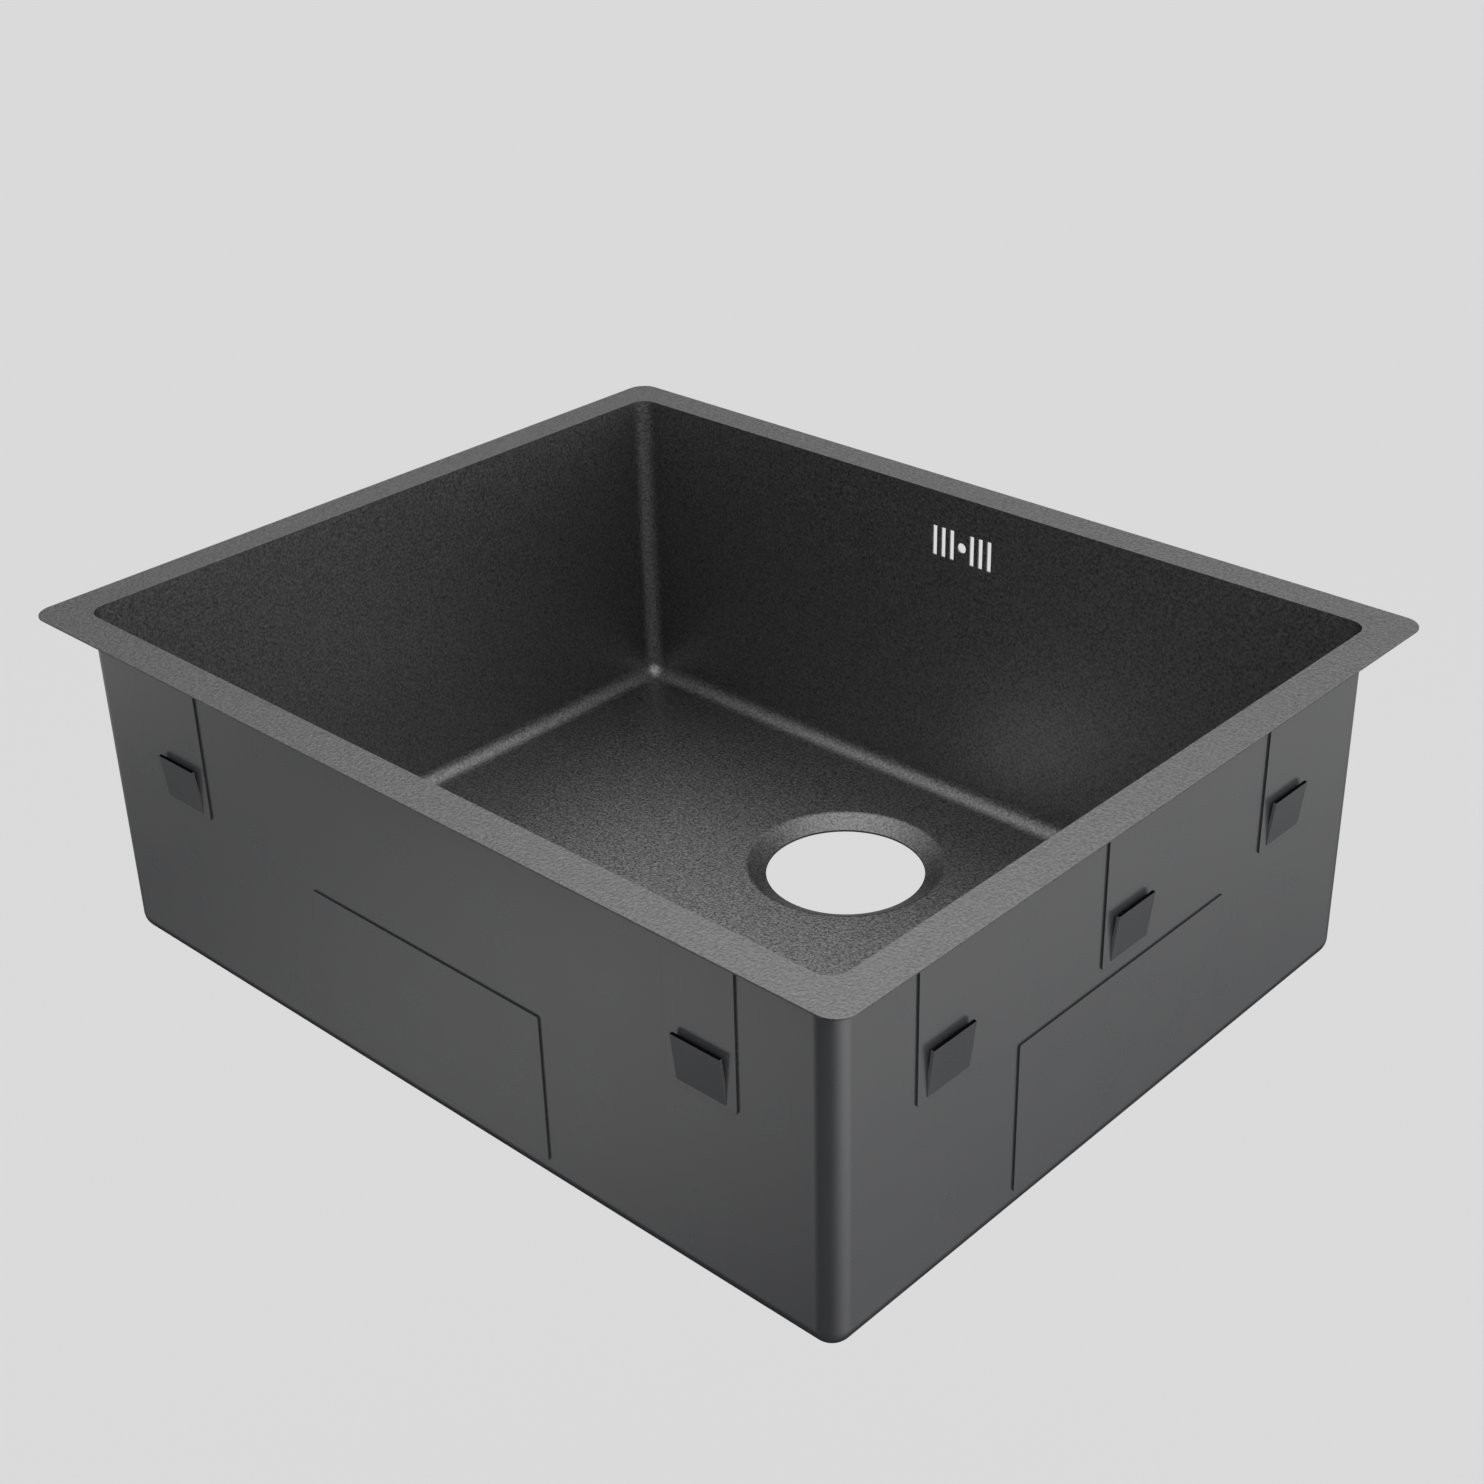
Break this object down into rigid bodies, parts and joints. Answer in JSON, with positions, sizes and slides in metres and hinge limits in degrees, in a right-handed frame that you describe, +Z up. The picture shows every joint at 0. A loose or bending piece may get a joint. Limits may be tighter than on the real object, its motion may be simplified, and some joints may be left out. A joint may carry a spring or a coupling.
{
  "type": "kitchen sink",
  "caption": "Undermount single-bowl kitchen sink in dark steel with a flat rim, tight corner radii, rear drain, slotted overflow, clip hanger plates and sound pads.",
  "frame": {"origin": "centre of the rim's top face, the plane that meets the worktop", "axes": "+X along the long walls, +Y towards the overflow wall at the back, +Z up out of the bowl"},
  "size_m": [0.54, 0.44, 0.1961],
  "materials": {
    "gunmetal_steel": "sand-textured dark grey coating on steel, satin",
    "coated_steel": "smooth dark grey anti-condensation coat, matt to satin",
    "coated_rubber": "black rubber sheet under the same dark grey coat"
  },
  "bodies": {
    "root": {"bowl": "gunmetal_steel", "rim": "gunmetal_steel", "hanger_front_left": "coated_steel", "hanger_front_right": "coated_steel", "hanger_right_front": "coated_steel", "hanger_right_middle": "coated_steel", "hanger_right_back": "coated_steel", "hanger_back_left": "coated_steel", "hanger_back_right": "coated_steel", "hanger_left_front": "coated_steel", "hanger_left_middle": "coated_steel", "hanger_left_back": "coated_steel", "clip_tab_front_left": "coated_steel", "clip_tab_front_right": "coated_steel", "clip_tab_right_front": "coated_steel", "clip_tab_right_middle": "coated_steel", "clip_tab_right_back": "coated_steel", "clip_tab_back_left": "coated_steel", "clip_tab_back_right": "coated_steel", "clip_tab_left_front": "coated_steel", "clip_tab_left_middle": "coated_steel", "clip_tab_left_back": "coated_steel", "sound_pad_front": "coated_rubber", "sound_pad_right": "coated_rubber", "sound_pad_back": "coated_rubber", "sound_pad_left": "coated_rubber", "sound_pad_base_left": "coated_rubber", "sound_pad_base_right": "coated_rubber"}
  },
  "joints": []
}
